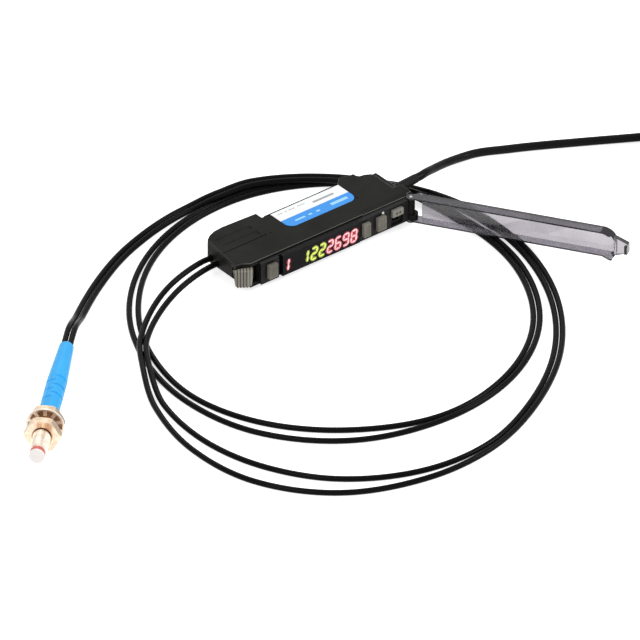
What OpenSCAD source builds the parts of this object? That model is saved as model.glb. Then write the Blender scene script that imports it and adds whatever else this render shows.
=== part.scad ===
// Fibre optic sensor amplifier for rail mounting, lying on its side with its dust cover open,
// with two plastic fibres, a threaded sensing head and a signal cable.
// Frame: origin at the middle of the rail seat, +X towards the cable, -Y towards the display
// front, +Z up through the label side. All sizes are millimetres.

/* [Housing] */
// Thickness of the slim housing
case_t = 10.4; // [9.8:0.2:12]
// Distance from the rail seat to the front face
front_depth = 21.7; // [21:0.1:24]
// Width of the rail recess in the back
rail_gap = 35.5; // [35.2:0.1:36.2]
// Thickness of the housing walls and of the side cover
wall = 1.2; // [0.9:0.1:1.5]
// Height of the left hook block above the rail seat
hook_rise = 3.8; // [3:0.1:5]
// Reach of the lips that catch the rail
lip_reach = 0.8; // [0.4:0.1:1.2]

/* [Front] */
// How far the display window stands out of the front
window_proud = 2.6; // [2.2:0.1:2.9]
// How far the button panel stands out of the front
panel_proud = 2.0; // [1.6:0.1:2.3]
// How far the buttons stand out of the front
button_proud = 3.4; // [3:0.1:3.5]
// Length of the display window
window_w = 35.8; // [33:0.2:35.8]
// Travel of the push buttons
button_travel = 0.4; // [0.2:0.1:0.5]
// Height of the two adjusting buttons
button_h = 5.6; // [4.6:0.2:5.8]

/* [Dust cover] */
// Opening angle of the cover as it lies
cover_open = 123; // [0:1:123]
// Length of the cover from its pin to its end wall
cover_len = 78; // [78:0.2:80]
// Wall thickness of the cover channel
cover_wall = 0.6; // [0.5:0.05:0.65]
// Thickness of the cover plate
cover_plate = 0.8; // [0.6:0.1:1]
// Radius of the hinge pin
pin_r = 0.6; // [0.5:0.05:0.8]

/* [Lever] */
// Height of the lever across the housing
lever_h = 6.7; // [5.5:0.1:6.8]
// Number of grip ribs
rib_count = 5; // [3:1:6]

/* [Fibres] */
// Diameter of a fibre jacket
fibre_d = 2.2; // [2:0.1:2.2]
// Diameter of the signal cable
cable_d = 3.2; // [3:0.1:3.2]

/* [Sensing head] */
// Diameter of the threaded barrel
barrel_d = 6.5; // [6.4:0.1:7]
// Length of the bare thread in front of the nuts
barrel_out = 10.3; // [8:0.1:16]
// Width across the flats of the nuts
nut_af = 12; // [11:0.5:12]
// Thickness of one nut
nut_t = 3.5; // [3:0.1:3.6]
// Length of the flexible sleeve
sleeve_len = 47; // [40:1:50]
// Diameter of the sleeve at its fibre end
sleeve_d = 5.4; // [5.2:0.1:6]

/* [Hidden] */
$fn = 48;

// Running clearance between sliding pieces and hairline between seated pieces
gap = 0.1;
hair = 0.02;

// Heights measured from the middle of the housing
half_t = case_t / 2;
split_z = half_t - wall;
panel_half = half_t - 0.75;
room_half = split_z - gap;

// Places along the length of the housing
seat_half = rail_gap / 2;
pad_half = seat_half - lip_reach - 0.4;
pad_rise = 0.3;
end_left = 45.5;
back_left = 42.2;
end_right = 33.4;
ear_right = 35.5;
front_left = 40.2;
plateau_left = 36.6;
plateau_right = 28.4;
panel_left = 8.8;
panel_right = 31.6;
window_left = panel_left - gap - window_w;
front_y = -front_depth;

// Dust cover hinge, its ear and the room that the ear turns in
hinge_x = 33.2;
hinge_out = 1.5;
hinge_y = front_y - hinge_out;
ear_r = 1.8;
ear_room = ear_r + 0.3;
cover_half = half_t - 0.05;
cover_front = 3.0;
cover_back = 1.2;
lever_room = -0.4;
plate_start = 3.6;
far_corner_r = 5.5;
knuckle_half = cover_half - cover_wall - 0.15;

// Lever pivot and the pocket that the lever turns in
lever_x = -39.9;
lever_y = front_y + 1.4;
lever_boss = 1.3;
pocket_half = lever_h / 2 + 0.2;

// Fibre ports
port_gap = 4.4;
port_y = -4.4;
port_face = -41;
port_z = -1.2;
port_r = fibre_d / 2 + 0.15;
block_len = 11;
strip_len = 15.8;
gauge_y = -10.2;

// Button places and sizes along the front
set_x = -31.8;
set_w = 4;
set_h = 5.8;
mode_x = 11.7;
mode_w = 3.2;
adjust_x = 18.6;
adjust_w = 4;
led_x = 19.8;
led_z = 3.7;
knob_x = 26.35;
knob_w = 5.0;
knob_h = 2.8;
knob_z = 1.5;
knob_travel = 2.6;

// Label on the side cover
label_left = -14.1;
label_y = -12.2;
label_w = 31.5;
label_h = 11.5;
label_r = 3.4;
label_sunk = 0.2;

// Depths behind the front face
bezel_back = -1.5;
flange_t = 0.4;
board_out = -4.6;
board_t = 1;
board_right = 30.4;
plunger_y = front_y - bezel_back + 0.1 + flange_t + button_travel + 0.05;

// Digit block and its opening in the bezel
digit_left = -25.4;
digit_w = 32.4;
digit_half = 3.1;

// Chips on the main board: x, y and size
chip_z = -1.6;
chips = [
  [-12, -12.5, [9, 7.5, 1.8]], [4, -13, [7, 7, 1.4]], [15, -11.5, [5, 3, 2.2]],
  [22.5, -13, [6.5, 8, 4]]];

// The floor that the fibres, the cable and the head lie on, with the amplifier resting on
// the fibres
floor_z = -half_t - 2.4;

// Radius of the lock washer's rim, on which the head rests
washer_r = 7.0;

// Fibre pair route: x, y, height of the pair above the floor, distance between the fibres
pair_route = [
  [port_face, port_y, port_z - floor_z, port_gap],
  [port_face - 6, port_y, port_z - floor_z, port_gap], [-67, -8.8, 4.9, 4], [-92, -25, 3.4, 2.4],
  [-102, -38.5, 3.4, 2.4], [-113, -60.5, 1.1, 3.5], [-118, -90, 1.1, 7],
  [-112.5, -118, 1.1, 10], [-95, -141.5, 1.1, 9], [-66, -154.8, 1.1, 5],
  [-37, -155, 1.1, 2.8], [-8, -143.6, 1.1, 2.4], [22, -121.3, 1.1, 2.4],
  [43.9, -91.1, 1.1, 2.4], [54.9, -57.7, 1.1, 2.4], [54.6, -25.7, 1.1, 2.4],
  [46, -3, 1.1, 2.4], [29.5, 15.5, 1.1, 2.4], [3, 28.5, 1.1, 2.4], [-25, 29.3, 1.1, 2.4],
  [-54, 18.6, 1.1, 2.7], [-80, -4, 1.1, 3.3], [-96, -32, 1.1, 3.3], [-101.7, -64, 1.1, 3.8],
  [-93.5, -94.3, 1.1, 6.5], [-71, -118.5, 1.1, 6.8], [-38, -130, 1.1, 2.6],
  [-4, -124.5, 1.1, 2.4], [26, -104, 1.1, 2.4], [45.2, -71.2, 1.1, 2.4],
  [49.6, -37.7, 1.1, 2.4], [41, -3, 3.4, 2.4], [26.2, 16.5, 3.4, 2.4],
  [3.2, 31.2, 3.4, 2.4], [-11, 33.3, 3.0, 2.4], [-25.3, 34.8, 1.1, 2.4],
  [-56, 28, 1.1, 2.4], [-80.8, 15.9, 1.1, 2.4], [-99.5, 2.6, 2.6, 2.4],
  [-112.9, -9, washer_r, 2.3], [-120.8, -16.4, washer_r, 2.3]];

// Cable route from the boot to the coil: x, y, height above the floor
cable_route = [
  [47.4, -8.7, 7.6], [50.4, -8.4, 7.6], [58, -5.6, 5.8], [67, -2.8, 3.6], [78, -1.6, 1.7],
  [92, -7.5, 1.6], [114, -19.5, 1.6], [135, -32, 1.8], [148, -39.8, 2.1]];

// Coil of the rest of the cable and its free end
coil_x = 144;
coil_y = -64.6;
turn_pitch = 3.25;
coil_columns = 5;
coil_layers = 4;
coil_mid_r = 17;
tie_t = 0.5;
tie_w = 5;
tail_route = [
  [167.6, -73.4, 11], [166.5, -82, 8.6], [162.5, -93, 4.4], [157, -101.5, 1.8],
  [142.4, -113.2, 1.6]];
wire_d = 1.0;
wire_side = 1.05;
wire_turn = 8;
wire_len = 26;
tip_len = 5;
tip_d = 0.7;
tail_n = len(tail_route) - 1;
tail_yaw = atan2(tail_route[tail_n].y - tail_route[tail_n - 1].y,
  tail_route[tail_n].x - tail_route[tail_n - 1].x);

// Sensing head, at the end of the pair and lying on the rim of its lock washer
head_n = len(pair_route) - 1;
head_x = pair_route[head_n].x;
head_y = pair_route[head_n].y;
head_yaw = atan2(head_y - pair_route[head_n - 1].y, head_x - pair_route[head_n - 1].x);
head_z = floor_z + washer_r;
sleeve_end_d = 7.4;
core_d = barrel_d - 0.5;
washer_t = 0.7;
panel_room = 3.7;
flex_pitch = 2.75;
neck_len = 1.8;
neck_r = 2.4;
face_d = barrel_d - 0.8;
face_t = 1.1;
nut_start = sleeve_len + 0.5;
washer_start = nut_start + nut_t + hair;
front_start = washer_start + washer_t + panel_room;
thread_start = front_start + nut_t;
neck_start = thread_start + barrel_out;
face_start = neck_start + neck_len;

// Point on a fibre: the pair's middle, moved half the distance between them to one side
function flat(a, b) = [b.x - a.x, b.y - a.y] / norm([b.x - a.x, b.y - a.y]);
function heading(path, i) =
  i == 0 ? flat(path[0], path[1])
  : i == len(path) - 1 ? flat(path[i - 1], path[i])
  : let (s = flat(path[i - 1], path[i]) + flat(path[i], path[i + 1])) s / norm(s);
function strand(path, side) = [for (i = [0 : len(path) - 1])
  let (t = heading(path, i), d = side * path[i][3] / 2)
  [path[i].x + t.y * d, path[i].y - t.x * d, path[i].z]];

// Round tube swept along a path of points whose third number is the height above the floor
function tangent(p, i) = let (a = p[max(i - 1, 0)], b = p[min(i + 1, len(p) - 1)])
  (b - a) / norm(b - a);
module tube(path, d, sides = 8) {
  last = len(path) - 1;
  rings = [for (i = [0 : last]) let (t = tangent(path, i), n = cross(t, [0, 0, 1]),
      side = n / norm(n), up = cross(side, t))
    for (k = [0 : sides - 1])
      path[i] + d / 2 * (cos(360 * k / sides) * side + sin(360 * k / sides) * up)];
  skin = [for (i = [0 : last - 1]) for (k = [0 : sides - 1]) let (m = (k + 1) % sides)
    [i * sides + k, i * sides + m, (i + 1) * sides + m, (i + 1) * sides + k]];
  caps = [[for (k = [sides - 1 : -1 : 0]) k], [for (k = [0 : sides - 1]) last * sides + k]];
  translate([0, 0, floor_z]) polyhedron(points = rings, faces = concat(skin, caps));
}

// Box between two corners
module box(low, high) {
  translate(low) cube(high - low);
}

// Side view of the housing: rail recess with a hook at each side, leaning left end, ear at
// the cable end and a corner cut back for the lever
module case_outline() {
  polygon([
    [-front_left, front_y], [end_right, front_y], [end_right, front_y + 1.2],
    [ear_right, front_y + 1.3], [ear_right, front_y + 6.8], [end_right, front_y + 7.1],
    [end_right, -2.8], [31.8, -2.8], [29.2, -1.3], [26.6, -0.8], [26.3, 1.6], [23.7, 1.8],
    [22.4, 2.8], [21.2, 2.9], [20.1, 2.4], [seat_half + 1, 1.0], [seat_half, 0.1],
    [seat_half, -pad_rise], [pad_half, -pad_rise], [pad_half, 0],
    [-pad_half, 0], [-pad_half, -pad_rise], [-seat_half, -pad_rise],
    [-seat_half, hook_rise - 0.7], [-32.8, hook_rise],
    [-37, hook_rise - 0.4], [-39.8, hook_rise - 1.5], [-back_left, 0.6],
    [-end_left, front_y + 2.1], [-42.9, front_y + 1.9]]);
}

// Room that is cut away for the ears of the dust cover at both faces of the housing
module ear_pockets() {
  for (z = [-half_t - 1, panel_half])
    translate([hinge_x, hinge_y, z]) cylinder(r = ear_room, h = half_t - panel_half + 1);
}

// Pocket for the lever, open to the front and to the left end
module lever_pocket() {
  translate([0, 0, -pocket_half]) linear_extrude(2 * pocket_half) polygon([
    [-50, front_y - 3], [-plateau_left - 0.2, front_y - 3], [-plateau_left - 0.2, lever_y + 1.9],
    [-40.4, lever_y + 2.2], [-50, lever_y + 3.6]]);
}

// Place and turn of the cable exit
module at_cable_exit() {
  a = cable_route[0];
  b = cable_route[1];
  translate([a.x, a.y, 0]) rotate([0, 0, atan2(b.y - a.y, b.x - a.x)]) children();
}

// Housing tray with its base, walls, rail hooks, hinge knuckle and fibre entry
module case_shell() {
  color("#2c2c2b") difference() {
    union() {
      translate([0, 0, -half_t]) linear_extrude(half_t + split_z - hair) case_outline();
      translate([hinge_x, hinge_y, -knuckle_half]) cylinder(r = 1.5, h = 2 * knuckle_half);
      translate([hinge_x + 0.6, hinge_y - 0.2, -knuckle_half]) cylinder(r = 2.1, h = 2.5);
      box([hinge_x - 1.3, hinge_y, -knuckle_half], [hinge_x + 0.2, front_y + 1, split_z - hair]);
      rail_lips();
    }
    main_room();
    lever_pocket();
    ear_pockets();
    translate([hinge_x, hinge_y, -half_t]) cylinder(r = pin_r + hair, h = case_t);
    translate([lever_x, lever_y, -split_z]) cylinder(r = pin_r + hair, h = case_t);
    for (side = [-1, 1])
      translate([-50, port_y + side * port_gap / 2, port_z])
        rotate([0, 90, 0]) cylinder(r = port_r, h = 12);
    lower_left_cut();
    cap_seat(hair);
  }
}

// Lips at mid thickness that snap behind the edges of the rail
module rail_lips() {
  for (side = [-1, 1])
    mirror([side < 0 ? 0 : 1, 0, 0])
      translate([-seat_half, 0, -2.6]) linear_extrude(5.2)
        polygon([[-3.3, 1.3], [lip_reach - 0.3, 1.3], [lip_reach, 1.7], [0, 2.3], [-3.3, 2.3]]);
}

// Inside of the housing, open to the front and under the side cover
module main_room() {
  box([-plateau_left + wall, front_y - 1, -split_z], [panel_right - 0.4, -wall - 0.6, half_t]);
  box([port_face, port_y - 5.2, -split_z], [port_face + block_len + 3.2, port_y + 4.1, half_t]);
}

// Corner that is cut away under the lever, and the bevel along the lower left edge
module lower_left_cut() {
  box([-50, front_y - 3, -half_t - 1], [-front_left, front_y + 3.4, -pocket_half]);
  translate([port_face, hook_rise + 1, -half_t]) rotate([90, 0, 0])
    linear_extrude(front_depth + 6) polygon([[1, -1], [-9, 9], [-9, -1]]);
}

// Seat of the end cap at the cable end, grown all round by a clearance
module cap_seat(grow) {
  box([31.6 - grow, front_y + 7.1 - grow, -half_t - 1],
    [end_right + 1, -2.8 + 2, half_t + 1]);
}

// Plate that closes the housing on the label side
module side_cover() {
  color("#333332") difference() {
    translate([0, 0, split_z]) linear_extrude(wall) case_outline();
    ear_pockets();
    lever_pocket();
    translate([lever_x, lever_y, 0]) cylinder(r = pin_r + hair, h = split_z + 0.6);
    box([label_left - gap, label_y - gap, half_t - label_sunk],
      [label_left + label_w + gap, label_y + label_h + gap, half_t + 1]);
    strip_gauge();
    front_crease();
    cap_seat(hair);
  }
}

// Two shallow channels with end marks that show how much jacket to strip, and the line below
module strip_gauge() {
  end = port_face + strip_len;
  for (side = [-1, 1])
    translate([0, port_y - 0.5 + side * port_gap / 2, half_t]) {
      box([port_face, -fibre_d / 2, -0.08], [end - 0.6, fibre_d / 2, 1]);
      box([end, -fibre_d / 2, -0.25], [end + 0.4, fibre_d / 2, 1]);
    }
  box([-front_left - 3.4, gauge_y - 0.2, half_t - 0.25], [end + 2, gauge_y + 0.2, half_t + 1]);
  translate([end + 3.6, gauge_y, half_t - 0.25]) cylinder(r = 0.3, h = 1);
}

// Shallow bevel along the front edge at the cable end
module front_crease() {
  translate([12, front_y + 2.6, half_t]) rotate([7, 0, 0]) box([0, -6, 0], [24, 0, 3]);
}

// Self-adhesive label with round lower corners
module side_label() {
  color("#f2f4f6") translate([0, 0, half_t - label_sunk + hair]) linear_extrude(label_sunk)
    difference() {
      translate([label_left, label_y]) square([label_w, label_h]);
      for (side = [0, 1])
        translate([side ? label_left + label_w - label_r : label_left + label_r, label_y + label_r])
          mirror([side ? 0 : 1, 0]) difference() {
            translate([0, -label_r]) square(label_r);
            circle(label_r);
          }
    }
}

// Front panel: a flange over the front of the housing with raised ends and a plug inside
module front_bezel() {
  color("#242424") difference() {
    union() {
      box([-plateau_left, front_y - 0.8, -panel_half], [panel_right, front_y - hair, panel_half]);
      box([-plateau_left, front_y - panel_proud + 0.1, -panel_half],
        [-plateau_right, front_y - 0.7, panel_half]);
      box([panel_left, front_y - panel_proud, -panel_half],
        [panel_right, front_y - 0.7, panel_half]);
      box([-plateau_left + wall + gap, front_y - 0.7, -room_half],
        [panel_right - 0.6, front_y - bezel_back, room_half]);
    }
    digit_opening();
    button_hole(set_x, set_w, set_h);
    button_hole(mode_x, mode_w, button_h);
    button_hole(adjust_x, adjust_w, button_h);
    translate([led_x, front_y - 4, led_z]) rotate([-90, 0, 0]) cylinder(r = 0.55, h = 8);
    box([knob_x - 2.8, front_y - 4, -3.8], [knob_x + 2.8, front_y - panel_proud + 0.9, 3.5]);
    box([knob_x - 1.5, front_y - 2, -2.5], [knob_x + 1.5, front_y + 4, 2.6]);
  }
}

// Opening behind the display window
module digit_opening() {
  translate([digit_left - 0.2, front_y - 2, -digit_half - 0.2])
    cube([digit_w + 0.4, 6, 2 * digit_half + 0.4]);
}

// Hole through the bezel for one button
module button_hole(x, w, h) {
  box([x - w / 2 - gap, front_y - 4, -h / 2 - gap], [x + w / 2 + gap, front_y + 4, h / 2 + gap]);
}

// One push button: a cap that stands out and a flange that keeps it behind the bezel
module push_button(x, w, h) {
  color("#8c8a82") {
    box([x - w / 2, front_y - button_proud, -h / 2], [x + w / 2, front_y - bezel_back + 0.2, h / 2]);
    box([x - w / 2 - 0.5, front_y - bezel_back + 0.1, -h / 2 - 0.5],
      [x + w / 2 + 0.5, front_y - bezel_back + 0.1 + flange_t, h / 2 + 0.5]);
  }
}

module set_button() {
  push_button(set_x, set_w, set_h);
}

module mode_button() {
  push_button(mode_x, mode_w, button_h);
}

module adjust_button() {
  push_button(adjust_x, adjust_w, button_h);
}

// Smoked display window, seated on the bezel flange
module display_window() {
  color("#1d0f12") difference() {
    box([window_left, front_y - window_proud, -panel_half],
      [panel_left - gap, front_y - 0.8 - hair, panel_half]);
    for (z = [-panel_half, panel_half])
      translate([-40, front_y - window_proud, z]) rotate([45, 0, 0])
        box([0, -0.2, -0.2], [60, 0.2, 0.2]);
  }
}

// Digit block behind the window
module digit_display() {
  color("#3a3a3c") translate([digit_left, front_y - 0.7, -digit_half])
    cube([digit_w, 0.7 - board_out, 2 * digit_half]);
}

// Circuit board behind the display and the buttons
module display_board() {
  color("#1f5a3a")
    box([-plateau_left + wall + 0.5, front_y - board_out, -room_half + 0.2],
      [panel_right - 1, front_y - board_out + board_t, room_half - 0.2]);
}

// Main circuit board with its chips, lying flat in the housing
module main_board() {
  color("#1f5a3a") {
    box([-26, front_y - board_out + board_t, chip_z - board_t], [board_right, -2.2, chip_z]);
    for (c = chips) translate([c[0], c[1], chip_z]) cube(c[2]);
  }
}

// Three tact switches on the display board, one behind each push button
module tact_switches() {
  color("#2f2f31") for (x = [set_x, mode_x, adjust_x]) {
    box([x - 1.9, plunger_y + 0.5, -1.9], [x + 1.9, front_y - board_out, 1.9]);
    translate([x, plunger_y, 0]) rotate([-90, 0, 0]) cylinder(r = 0.8, h = 1);
  }
}

// Slide switch knob in its recess, with the stem that reaches the switch
module slide_switch() {
  color("#b5b3aa") {
    box([knob_x - knob_w / 2, front_y - panel_proud - 0.9, knob_z - knob_h / 2],
      [knob_x + knob_w / 2, front_y - panel_proud + 0.9 - gap, knob_z + knob_h / 2]);
    box([knob_x - 1.3, front_y - 1.5, knob_z - 1.1], [knob_x + 1.3, front_y + 2.4, knob_z + 1.1]);
  }
}

// Light pipe of the output indicator
module indicator_led() {
  color("#f4f6f0") {
    translate([led_x, front_y - panel_proud - 0.2, led_z])
      rotate([-90, 0, 0]) cylinder(r = 0.5, h = panel_proud + 0.1);
  }
}

// Clear dust cover, drawn closed with its pin at the origin and turned open about the pin
module dust_cover() {
  color([0.45, 0.45, 0.48, 0.5])
    translate([hinge_x, hinge_y, 0]) rotate([0, 0, cover_open]) difference() {
      union() {
        cover_channel();
        for (z = [-cover_half, cover_half - cover_wall])
          translate([0, 0, z]) linear_extrude(cover_wall) cover_ear();
        cover_latch();
      }
      translate([0, 0, -half_t]) cylinder(r = pin_r + 0.05, h = case_t);
    }
}

// Long side of the cover: flat at the hinge, one large and one small round corner at the end
module cover_face(inset) {
  far = -cover_len + inset;
  h = cover_half - inset;
  big = far_corner_r - inset;
  small = 1.4;
  difference() {
    translate([far, -h]) square([cover_len - plate_start - inset, 2 * h]);
    translate([far + big, h - big]) difference() {
      translate([-big - 1, 0]) square([big + 1, big + 1]);
      circle(big);
    }
    translate([far + small, -h + small]) difference() {
      translate([-small - 1, -small - 1]) square([small + 1, small + 1]);
      circle(small);
    }
  }
}

// Channel of the cover: a plate with walls along both edges and across the end
module cover_channel() {
  difference() {
    translate([0, cover_back, 0]) rotate([90, 0, 0])
      linear_extrude(cover_back + cover_front) cover_face(0);
    translate([0, cover_back + 1, 0]) rotate([90, 0, 0])
      linear_extrude(cover_back + 1 + cover_front - cover_plate) intersection() {
        cover_face(cover_wall);
        translate([-cover_len, -cover_half]) square([cover_len - plate_start - 0.01, case_t]);
      }
    box([-plate_start - 1, -cover_front + cover_plate, -cover_half + cover_wall],
      [0, cover_back + 1, cover_half - cover_wall]);
    box([-cover_len - 1, lever_room, -cover_half + cover_wall],
      [-cover_len + 6, cover_back + 1, pocket_half + 0.15]);
  }
}

// Ear at the pin, joined to the wall of the channel
module cover_ear() {
  circle(ear_r);
  polygon([[-plate_start - 0.5, -cover_front], [-plate_start - 0.5, cover_back],
    [-1.2, cover_back], [-0.6, -1.7], [-2, -cover_front]]);
}

// Tapered latch nose at the far end, with its catch and the flared corner beside it
module cover_latch() {
  nose = 5;
  translate([0, 1.0, 0]) rotate([90, 0, 0]) linear_extrude(2)
    polygon([[-cover_len + 0.4, -4], [-cover_len + 0.4, 3.8],
      [-cover_len - nose, 1.6], [-cover_len - nose, -2.3]]);
  box([-cover_len - nose, 0.9, -2], [-cover_len - nose + 1.1, 2.3, 1.3]);
  translate([0, 0, -cover_half]) linear_extrude(cover_wall)
    polygon([[-cover_len + 5, cover_back - 0.1], [-cover_len + 1.4, cover_back + 1.9],
      [-cover_len + 0.6, cover_back + 1.6], [-cover_len + 0.8, cover_back - 0.6]]);
}

// Pin of the dust cover, held in the knuckle of the housing
module hinge_pin() {
  color("#b9bbbd") translate([hinge_x, hinge_y, -cover_half])
    cylinder(r = pin_r, h = 2 * cover_half);
}

// Lock lever for the fibres with upright grip ribs on its outer face
module lock_lever() {
  face = [[-46.8, lever_y + 0.3], [-42.1, lever_y - 3.0]];
  along = (face[1] - face[0]) / norm(face[1] - face[0]);
  out = [along.y, -along.x];
  pitch = norm(face[1] - face[0]) / rib_count;
  color("#8f8d83") difference() {
    union() {
      translate([0, 0, -lever_h / 2]) linear_extrude(lever_h) {
        polygon([face[0], face[1], [-39.7, lever_y - 2.5], [-38.8, lever_y - 0.7],
          [-39.9, lever_y + 1.2], [-41.3, lever_y - 0.3], [-45.9, lever_y + 1.5]]);
        for (i = [0 : rib_count - 1])
          translate(face[0] + along * pitch * (i + 0.5) + out * 0.02)
            circle(r = pitch * 0.32);
      }
      translate([lever_x, lever_y, -lever_h / 2]) cylinder(r = lever_boss, h = lever_h);
    }
    translate([lever_x, lever_y, -half_t]) cylinder(r = pin_r + 0.05, h = case_t);
    translate(face[0]) rotate([0, 0, atan2(along.y, along.x)]) lever_taper();
  }
}

// Slanted cuts that narrow the lever's face downwards, drawn along the face
module lever_taper() {
  h = lever_h / 2;
  rotate([90, 0, 0]) linear_extrude(20, center = true) {
    polygon([[-2, h + 1], [0, h + 1], [0, h], [0.8, 0.7 - h], [1.5, -h], [1.5, -h - 1],
      [-2, -h - 1]]);
    polygon([[9, 0], [7.4, 0], [6.8, -h], [6.8, -h - 1], [9, -h - 1]]);
  }
}

// Pin that the lever turns on
module lever_pin() {
  color("#b9bbbd") translate([lever_x, lever_y, -split_z + 0.1])
    cylinder(r = pin_r, h = 2 * split_z + 0.4);
}

// Block inside the fibre end that the two fibres plug into
module port_block() {
  color("#232323") difference() {
    box([port_face + hair, port_y - 4, -split_z + hair],
      [port_face + block_len, port_y + 4, split_z - 0.4]);
    for (side = [-1, 1])
      translate([port_face + 4, port_y + side * port_gap / 2, port_z])
        rotate([0, 90, 0]) cylinder(r = 0.6, h = block_len);
  }
}

// Metal plate that the lever presses against the fibres
module fibre_clamp() {
  color("#a8aaac")
    box([port_face + 2, port_y - 4.9, -2.4], [port_face + 8, port_y - 4, 2.4]);
}

// Light source and light receiver at the inner ends of the fibre ways
module optical_element(y) {
  translate([port_face + block_len, y, port_z]) rotate([0, 90, 0]) {
    cylinder(r = 1.5, h = 2.2);
    translate([0, 0, 2]) cylinder(r = 1.8, h = 0.8);
  }
}

module emitter_led() {
  color("#d8d2c4") optical_element(port_y - port_gap / 2);
}

module receiver_diode() {
  color("#3b3440") optical_element(port_y + port_gap / 2);
}

// Cap at the cable end with the hole for the boot
module end_cap() {
  color("#303030") difference() {
    box([31.6, front_y + 7.1, -half_t], [end_right, -2.8, half_t]);
    at_cable_exit() rotate([0, 90, 0]) translate([0, 0, -20])
      cylinder(r = 2.0 + hair, h = 20);
  }
}

// Tapered boot that keeps the cable from kinking
module cable_boot() {
  boot_len = 15;
  color("#232323") at_cable_exit() rotate([0, 90, 0]) {
    translate([0, 0, -boot_len]) cylinder(r = 2.0, h = 2);
    translate([0, 0, -boot_len + 2]) cylinder(r1 = 2.0, r2 = cable_d / 2 + 0.1, h = boot_len - 2);
  }
}

module power_cable() {
  color("#262626") tube(cable_route, cable_d);
}

// Outer shape of the wound cable
module cable_coil() {
  reach = (coil_columns - 1) * turn_pitch + cable_d;
  color("#262626") translate([coil_x, coil_y, floor_z + tie_t]) rotate_extrude()
    translate([coil_mid_r - reach / 2, 0])
      square([reach, (coil_layers - 1) * turn_pitch + cable_d]);
}

// Flat tie round the coil
module coil_tie() {
  reach = (coil_columns - 1) * turn_pitch + cable_d;
  high = (coil_layers - 1) * turn_pitch + cable_d;
  color("#1c1c1c") translate([coil_x, coil_y, floor_z]) rotate([0, 0, -60]) difference() {
    box([coil_mid_r - reach / 2 - tie_t, -tie_w / 2, 0],
      [coil_mid_r + reach / 2 + tie_t + 0.2, tie_w / 2, high + 2 * tie_t]);
    translate([0, 0, tie_t - hair]) rotate_extrude()
      translate([coil_mid_r - reach / 2 - hair, 0])
        square([reach + 2 * hair, high + 2 * hair]);
  }
}

module cable_tail() {
  color("#262626") tube(tail_route, cable_d);
}

// Three stripped wires that fan out of the jacket's end
module along_wire(lane) {
  end = tail_route[len(tail_route) - 1];
  droop = atan((cable_d - wire_d) / 2 / wire_len);
  translate([end.x, end.y, floor_z + cable_d / 2]) rotate([0, 0, tail_yaw])
    translate([gap, lane * wire_side, 0]) rotate([0, 90 + droop, lane * wire_turn]) children();
}
module wire(lane, colour) {
  color(colour) along_wire(lane) cylinder(r = wire_d / 2, h = wire_len);
}

module wire_brown() {
  wire(1, "#6b3a1e");
}

module wire_black() {
  wire(0, "#1b1b1b");
}

module wire_blue() {
  wire(-1, "#2456a8");
}

// Bare twisted copper at the end of each wire
module wire_tips() {
  color("#c98a5b") for (lane = [-1, 0, 1])
    along_wire(lane) translate([0, 0, wire_len]) cylinder(r = tip_d / 2, h = tip_len);
}

module fibre_a() {
  color("#1e1e1e") tube(strand(pair_route, 1), fibre_d);
}

module fibre_b() {
  color("#1e1e1e") tube(strand(pair_route, -1), fibre_d);
}

// Place and turn of the sensing head, with its axis along +Z
module on_head(at) {
  translate([head_x, head_y, head_z]) rotate([0, 0, head_yaw]) rotate([0, 90, 0])
    translate([0, 0, at]) children();
}

// Flexible sleeve with a taper and six flex grooves
module head_sleeve() {
  groove = 0.35;
  r_big = sleeve_end_d / 2;
  first = sleeve_len - 24.4;
  color("#1f4fb4") on_head(0) rotate_extrude() polygon(concat(
    [[0, hair], [sleeve_d / 2, hair], [r_big, first]],
    [for (i = [0 : 5]) let (z = first + i * flex_pitch)
      for (p = [[r_big, z + 0.8], [r_big - groove, z + 1.0], [r_big - groove, z + 1.6],
        [r_big, z + 1.8]]) p],
    [[r_big, sleeve_len], [0, sleeve_len]]));
}

// Barrel: thread core inside both nuts, the bare thread in front and a neck for the ring
module head_barrel() {
  color("#c9b48e") on_head(0) {
    translate([0, 0, sleeve_len]) cylinder(d = core_d, h = thread_start + 1 - sleeve_len);
    translate([0, 0, thread_start]) cylinder(d = barrel_d, h = barrel_out);
    translate([0, 0, neck_start - 1]) cylinder(r = neck_r, h = neck_len + 1);
  }
}

// Hexagon nut with bevelled corners
module nut() {
  difference() {
    intersection() {
      rotate([0, 0, 30]) cylinder(d = nut_af / cos(30), h = nut_t, $fn = 6);
      union() {
        cylinder(r1 = nut_af / 2 + 0.2, r2 = nut_af / 2 + 1.2, h = 1);
        translate([0, 0, 1]) cylinder(r = nut_af / 2 + 1.2, h = nut_t - 2);
        translate([0, 0, nut_t - 1])
          cylinder(r1 = nut_af / 2 + 1.2, r2 = nut_af / 2 + 0.2, h = 1);
      }
    }
    translate([0, 0, -1]) cylinder(d = core_d + 2 * hair, h = nut_t + 2);
  }
}

module rear_nut() {
  color("#c8c6bd") on_head(nut_start) nut();
}

module front_nut() {
  color("#c8c6bd") on_head(front_start) nut();
}

// Lock washer: a rim with teeth on its inside
module lock_washer() {
  teeth = 10;
  rim = 0.7;
  inner = core_d / 2 + 1.2;
  color("#b4b2a8") on_head(washer_start) linear_extrude(washer_t) {
    difference() {
      circle(washer_r);
      circle(washer_r - rim);
    }
    for (i = [0 : teeth - 1])
      rotate(360 * i / teeth) translate([inner, -0.6]) square([washer_r - rim / 2 - inner, 1.2]);
  }
}

// Coloured ring on the neck at the sensing end
module marker_ring() {
  color("#b01818") on_head(neck_start + hair) difference() {
    cylinder(d = face_d, h = neck_len - 2 * hair);
    translate([0, 0, -1]) cylinder(r = neck_r + hair, h = neck_len + 2);
  }
}

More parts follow.
